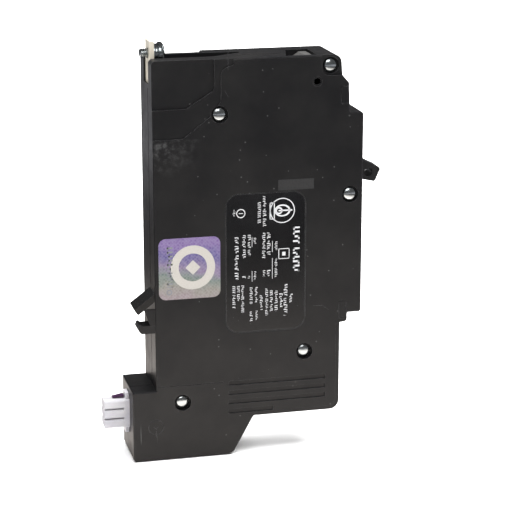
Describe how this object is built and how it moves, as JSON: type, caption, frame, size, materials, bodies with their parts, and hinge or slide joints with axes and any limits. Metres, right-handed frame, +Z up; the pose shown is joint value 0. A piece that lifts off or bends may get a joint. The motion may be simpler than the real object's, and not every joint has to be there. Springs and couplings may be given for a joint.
{
  "type": "remotely operated moulded case circuit breaker",
  "caption": "Slim black bolt-on moulded case circuit breaker with a toggle handle, riveted half shells, a rear rail hook and a white control plug.",
  "frame": {"origin": "where the line screw's axis meets the back face of the line tab, which lies on the panel's bus", "axes": "+Z up towards the line end, +X from the panel to the handle side, +Y from the riveted cover to the base"},
  "size_m": [0.1183, 0.0256, 0.1747],
  "materials": {
    "case_plastic": "moulded black thermoset, satin, fine scuffs",
    "hook_plastic": "glossy black nylon",
    "handle_plastic": "satin black",
    "zinc_steel": "bright zinc plate",
    "tinned_copper": "dull tin plate, warm",
    "silver_contact": "silver alloy",
    "steel": "plain pressed steel",
    "spring_steel": "drawn wire",
    "fibre": "grey vulcanised fibre",
    "copper": "bare copper",
    "enamelled_wire": "enamelled copper winding",
    "bimetal": "rolled bimetal",
    "white_nylon": "natural white nylon",
    "board_green": "solder resist",
    "board_parts": "moulded black parts",
    "lug_aluminium": "tin-plated aluminium",
    "rating_label": "glossy black printed film",
    "security_label": "iridescent silver foil",
    "date_label": "dark grey ink patch",
    "clear_window": "clear polycarbonate",
    "signal_red": "red moulded flag"
  },
  "bodies": {
    "case": {"cover": "case_plastic", "base": "case_plastic", "case_rivets": "zinc_steel", "rail_hook": "hook_plastic", "line_terminal": "tinned_copper", "fixed_contact": "silver_contact", "vent_baffle": "fibre", "arc_chute_plates": "steel", "arc_chute_walls": "fibre", "handle_pin": "steel", "mechanism_frame": "steel", "arm_pin": "steel", "cradle_pin": "steel", "toggle_spring": "spring_steel", "armature_pin": "steel", "armature_spring": "spring_steel", "magnet_yoke": "steel", "bimetal": "bimetal", "bimetal_bracket": "copper", "calibration_screw": "zinc_steel", "flexible_braid": "copper", "solenoid_frame": "steel", "coil_bobbin": "white_nylon", "coil_winding": "enamelled_wire", "plunger_spring": "spring_steel", "remote_lever_pin": "steel", "remote_arm_pin": "steel", "remote_fixed_contact": "silver_contact", "load_strap": "copper", "link_strap": "copper", "status_window": "clear_window", "mode_pin": "steel", "status_switch": "board_parts", "load_lug": "lug_aluminium", "control_plug": "white_nylon", "plug_pins": "tinned_copper", "circuit_board": "board_green", "board_parts": "board_parts", "rating_label": "rating_label", "security_label": "security_label", "date_label": "date_label"},
    "handle": {"handle": "handle_plastic"},
    "contact_arm": {"contact_arm": "copper", "moving_contact": "silver_contact"},
    "cradle": {"cradle": "steel"},
    "armature": {"armature": "steel"},
    "plunger": {"plunger": "steel"},
    "remote_lever": {"remote_lever": "handle_plastic"},
    "remote_arm": {"remote_arm": "copper", "remote_moving_contact": "silver_contact"},
    "status_flag": {"status_flag": "signal_red"},
    "line_washers": {"line_flat_washer": "zinc_steel", "line_lock_washer": "zinc_steel"},
    "line_screw": {"line_screw": "zinc_steel"},
    "pressure_plate": {"pressure_plate": "zinc_steel"},
    "lug_screw": {"lug_screw": "zinc_steel"},
    "mode_lever": {"mode_lever": "handle_plastic"}
  },
  "joints": [
    {"name": "handle_turn", "type": "hinge", "parent": "case", "child": "handle", "pos_m": [0.0738, 0, -0.046], "axis": [0, -1, 0], "range_deg": [0, 40], "deforming": ["toggle_spring"]},
    {"name": "contact_arm_turn", "type": "hinge", "parent": "case", "child": "contact_arm", "pos_m": [0.0592, 0, -0.0554], "axis": [0, -1, 0], "range_deg": [0, 22]},
    {"name": "armature_pull", "type": "hinge", "parent": "case", "child": "armature", "pos_m": [0.0699, 0, -0.1004], "axis": [0, 1, 0], "range_deg": [0, 2.5], "stiffness_Nm_per_rad": 0.05},
    {"name": "cradle_trip", "type": "hinge", "parent": "case", "child": "cradle", "pos_m": [0.0502, 0, -0.0674], "axis": [0, -1, 0], "range_deg": [0, 20]},
    {"name": "plunger_slide", "type": "slide", "parent": "case", "child": "plunger", "axis": [0, 0, -1], "range_m": [0, 0.004], "stiffness_N_per_m": 300, "springref_m": -0.003, "deforming": ["plunger_spring"]},
    {"name": "remote_lever_turn", "type": "hinge", "parent": "case", "child": "remote_lever", "pos_m": [0.0302, 0, -0.1004], "axis": [0, -1, 0], "range_deg": [0, 16]},
    {"name": "remote_arm_turn", "type": "hinge", "parent": "case", "child": "remote_arm", "pos_m": [0.0332, 0, -0.1154], "axis": [0, 1, 0], "range_deg": [0, 9.5]},
    {"name": "status_flag_slide", "type": "slide", "parent": "case", "child": "status_flag", "axis": [0, 0, 1], "range_m": [0, 0.0041]},
    {"name": "line_clamp_slide", "type": "slide", "parent": "case", "child": "line_washers", "axis": [1, 0, 0], "range_m": [0, 0.003]},
    {"name": "line_screw_turn", "type": "hinge", "parent": "line_washers", "child": "line_screw", "pos_m": [0, 0, 0], "axis": [1, 0, 0], "range_deg": [0, 1400]},
    {"name": "lug_clamp_slide", "type": "slide", "parent": "case", "child": "pressure_plate", "axis": [-1, 0, 0], "range_m": [0, 0.0045]},
    {"name": "lug_screw_turn", "type": "hinge", "parent": "pressure_plate", "child": "lug_screw", "pos_m": [0.0694, 0, -0.1414], "axis": [-1, 0, 0], "range_deg": [0, 2100]},
    {"name": "mode_lever_turn", "type": "hinge", "parent": "case", "child": "mode_lever", "pos_m": [0.0802, 0, -0.0774], "axis": [0, -1, 0], "range_deg": [0, 30]}
  ],
  "couplings": [
    {"joint": "contact_arm_turn", "follows": "handle_turn", "ratio": 0.55},
    {"joint": "cradle_trip", "follows": "armature_pull", "ratio": 8},
    {"joint": "remote_lever_turn", "follows": "plunger_slide", "rad_per_m": 68},
    {"joint": "remote_arm_turn", "follows": "plunger_slide", "rad_per_m": 39.27},
    {"joint": "status_flag_slide", "follows": "plunger_slide", "ratio": 1},
    {"joint": "line_screw_turn", "follows": "line_clamp_slide", "rad_per_m": 7953.4},
    {"joint": "lug_screw_turn", "follows": "lug_clamp_slide", "rad_per_m": 7854}
  ]
}
